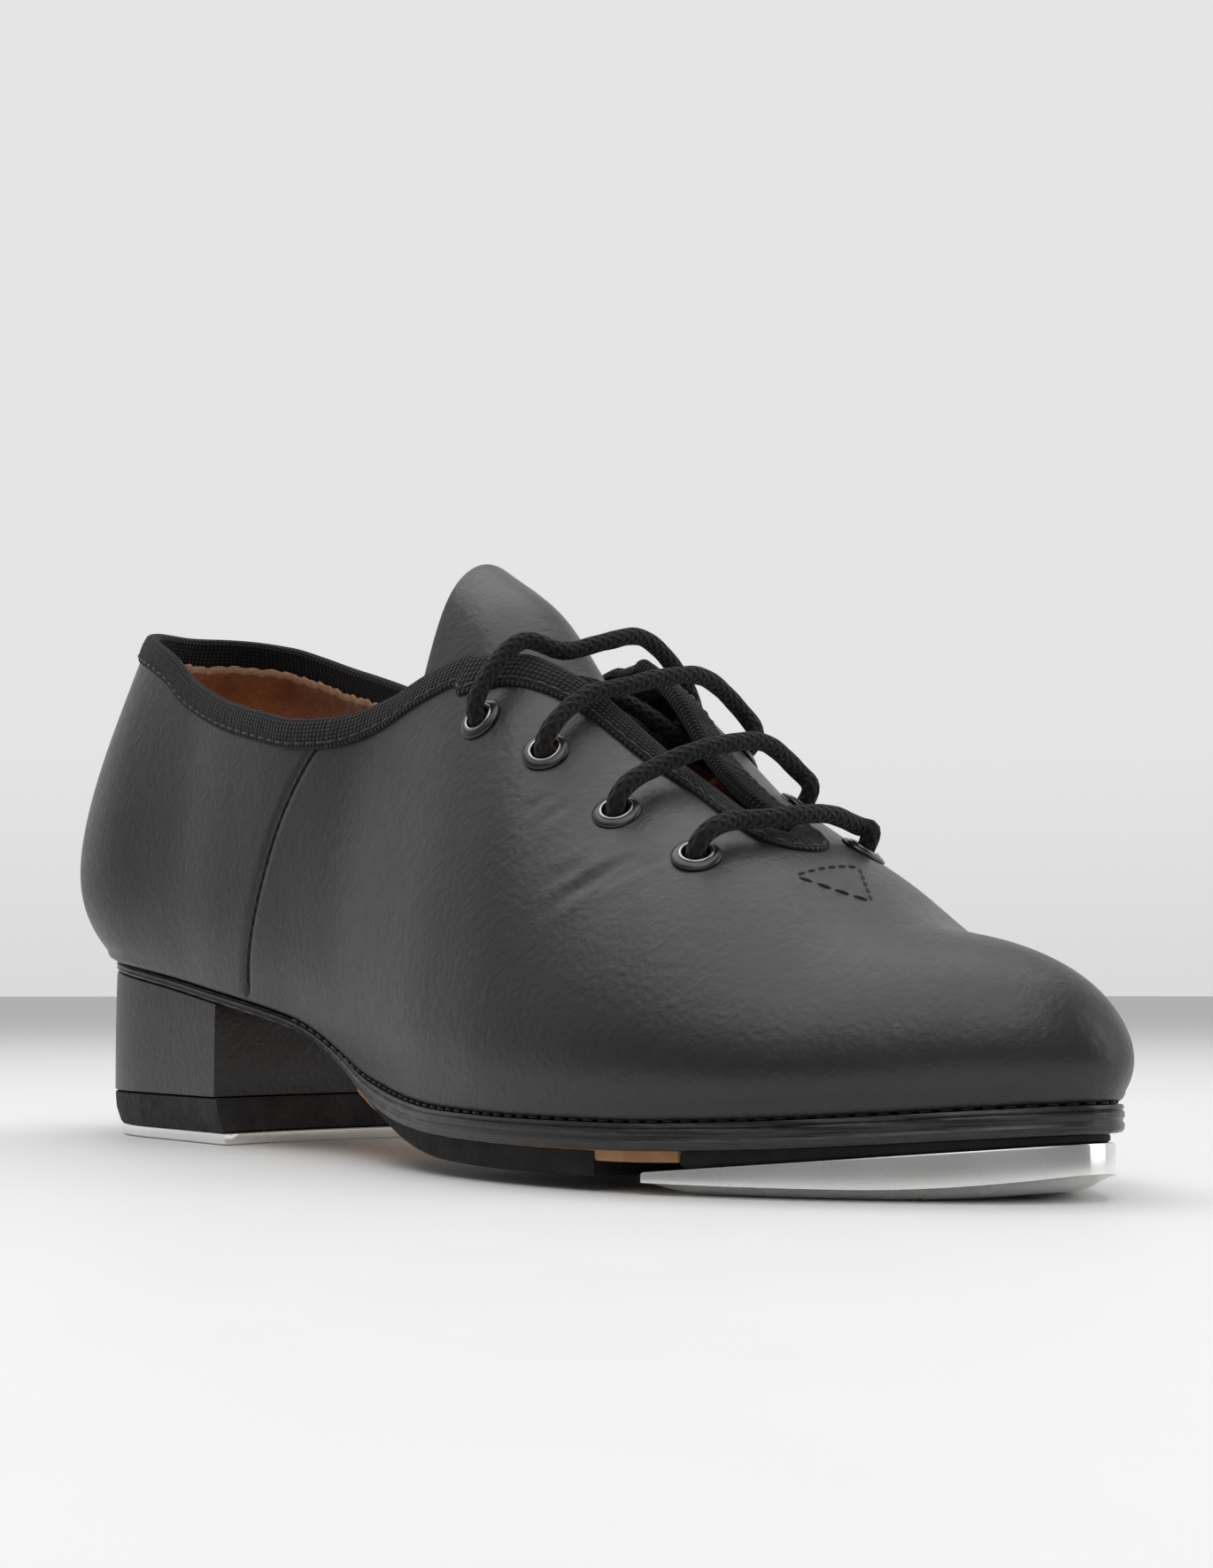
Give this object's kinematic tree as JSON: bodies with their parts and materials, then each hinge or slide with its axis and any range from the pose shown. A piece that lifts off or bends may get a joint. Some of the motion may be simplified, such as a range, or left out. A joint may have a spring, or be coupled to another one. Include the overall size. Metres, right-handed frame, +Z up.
{
  "type": "tap shoe",
  "caption": "Black leather lace-up tap shoe for the right foot, with a block heel, round eyelets, a bound collar and polished metal taps under toe and heel.",
  "frame": {"origin": "middle of the heel tap's ground face", "axes": "+X towards the toe, +Z up, -Y the outer (lateral) side of the right foot"},
  "size_m": [0.2739, 0.0899, 0.1117],
  "materials": {
    "black_leather": "fine-grained, soft sheen",
    "black_knit": "matt knitted tape",
    "tan_suede": "brushed suede",
    "fibreboard": "raw board",
    "stiffener": "stiffened felt",
    "steel": "plain",
    "black_sole": "dyed edge",
    "black_rubber": "matt",
    "heel_cover": "satin",
    "aluminium": "polished",
    "nickel": "polished, black flange",
    "black_braid": "matt braid",
    "lace_tip": "gloss"
  },
  "bodies": {
    "shoe": {"vamp": "black_leather", "back_quarter": "black_leather", "edge_binding": "black_knit", "vamp_lining": "tan_suede", "quarter_lining": "tan_suede", "sock_liner": "tan_suede", "insole": "fibreboard", "heel_block": "fibreboard", "bottom_filler": "fibreboard", "heel_counter": "stiffener", "toe_puff": "stiffener", "shank": "steel", "heel_nail_1": "steel", "heel_nail_2": "steel", "heel_nail_3": "steel", "heel_nail_4": "steel", "outsole": "black_sole", "forepart_pad": "black_rubber", "toe_tap_board": "black_rubber", "heel_lift": "black_rubber", "heel_cover": "heel_cover", "toe_tap": "aluminium", "heel_tap": "aluminium", "eyelet_lateral_1": "nickel", "eyelet_lateral_2": "nickel", "eyelet_lateral_3": "nickel", "eyelet_lateral_4": "nickel", "eyelet_medial_1": "nickel", "eyelet_medial_2": "nickel", "eyelet_medial_3": "nickel", "eyelet_medial_4": "nickel", "lace": "black_braid", "aglet_medial": "lace_tip", "aglet_lateral": "lace_tip"},
    "tongue_flap": {"tongue": "black_leather", "tongue_lining": "tan_suede"},
    "toe_screw_1": {"toe_tap_screw_1": "steel"},
    "toe_screw_2": {"toe_tap_screw_2": "steel"},
    "toe_screw_3": {"toe_tap_screw_3": "steel"},
    "heel_screw_1": {"heel_tap_screw_1": "steel"},
    "heel_screw_2": {"heel_tap_screw_2": "steel"},
    "heel_screw_3": {"heel_tap_screw_3": "steel"}
  },
  "joints": [
    {"name": "tongue_bend", "type": "hinge", "parent": "shoe", "child": "tongue_flap", "pos_m": [0.1857, -0.00017, 0.04221], "axis": [0, 1, 0], "range_deg": [-10, 0], "stiffness_Nm_per_rad": 0.3, "springref_deg": 1.72},
    {"name": "toe_screw_1_turn", "type": "hinge", "parent": "shoe", "child": "toe_screw_1", "pos_m": [0.1867, -0.02157, 0.00025], "axis": [0, 0, 1], "continuous": true},
    {"name": "toe_screw_2_turn", "type": "hinge", "parent": "shoe", "child": "toe_screw_2", "pos_m": [0.1867, 0.02443, 0.00025], "axis": [0, 0, 1], "continuous": true},
    {"name": "toe_screw_3_turn", "type": "hinge", "parent": "shoe", "child": "toe_screw_3", "pos_m": [0.2157, 0.00443, 0.00073], "axis": [0, 0, 1], "continuous": true},
    {"name": "heel_screw_1_turn", "type": "hinge", "parent": "shoe", "child": "heel_screw_1", "pos_m": [-0.0223, -0.00057, 0.00025], "axis": [0, 0, 1], "continuous": true},
    {"name": "heel_screw_2_turn", "type": "hinge", "parent": "shoe", "child": "heel_screw_2", "pos_m": [0.0187, -0.01457, 0.00025], "axis": [0, 0, 1], "continuous": true},
    {"name": "heel_screw_3_turn", "type": "hinge", "parent": "shoe", "child": "heel_screw_3", "pos_m": [0.0187, 0.01543, 0.00025], "axis": [0, 0, 1], "continuous": true}
  ]
}
